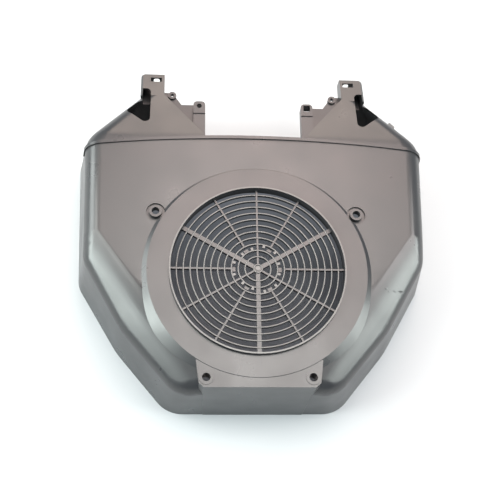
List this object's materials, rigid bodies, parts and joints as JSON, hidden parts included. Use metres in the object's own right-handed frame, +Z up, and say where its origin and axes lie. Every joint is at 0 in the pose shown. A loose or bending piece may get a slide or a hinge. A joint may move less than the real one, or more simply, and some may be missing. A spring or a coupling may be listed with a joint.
{
  "type": "mower engine fan cover",
  "caption": "Thin-walled moulded cover for a mower engine's cooling fan, with a round intake grille, rounded shoulders, screw bosses and slotted arms.",
  "frame": {"origin": "middle of the bounding box in plan, on the plane of the rim", "axes": "+Z up through the grille, +Y towards the slotted arms, X across the cover"},
  "size_m": [0.4468, 0.4196, 0.118],
  "materials": {
    "cover_plastic": "satin, lightly scuffed"
  },
  "bodies": {
    "root": {"fan_cover": "cover_plastic"}
  },
  "joints": []
}
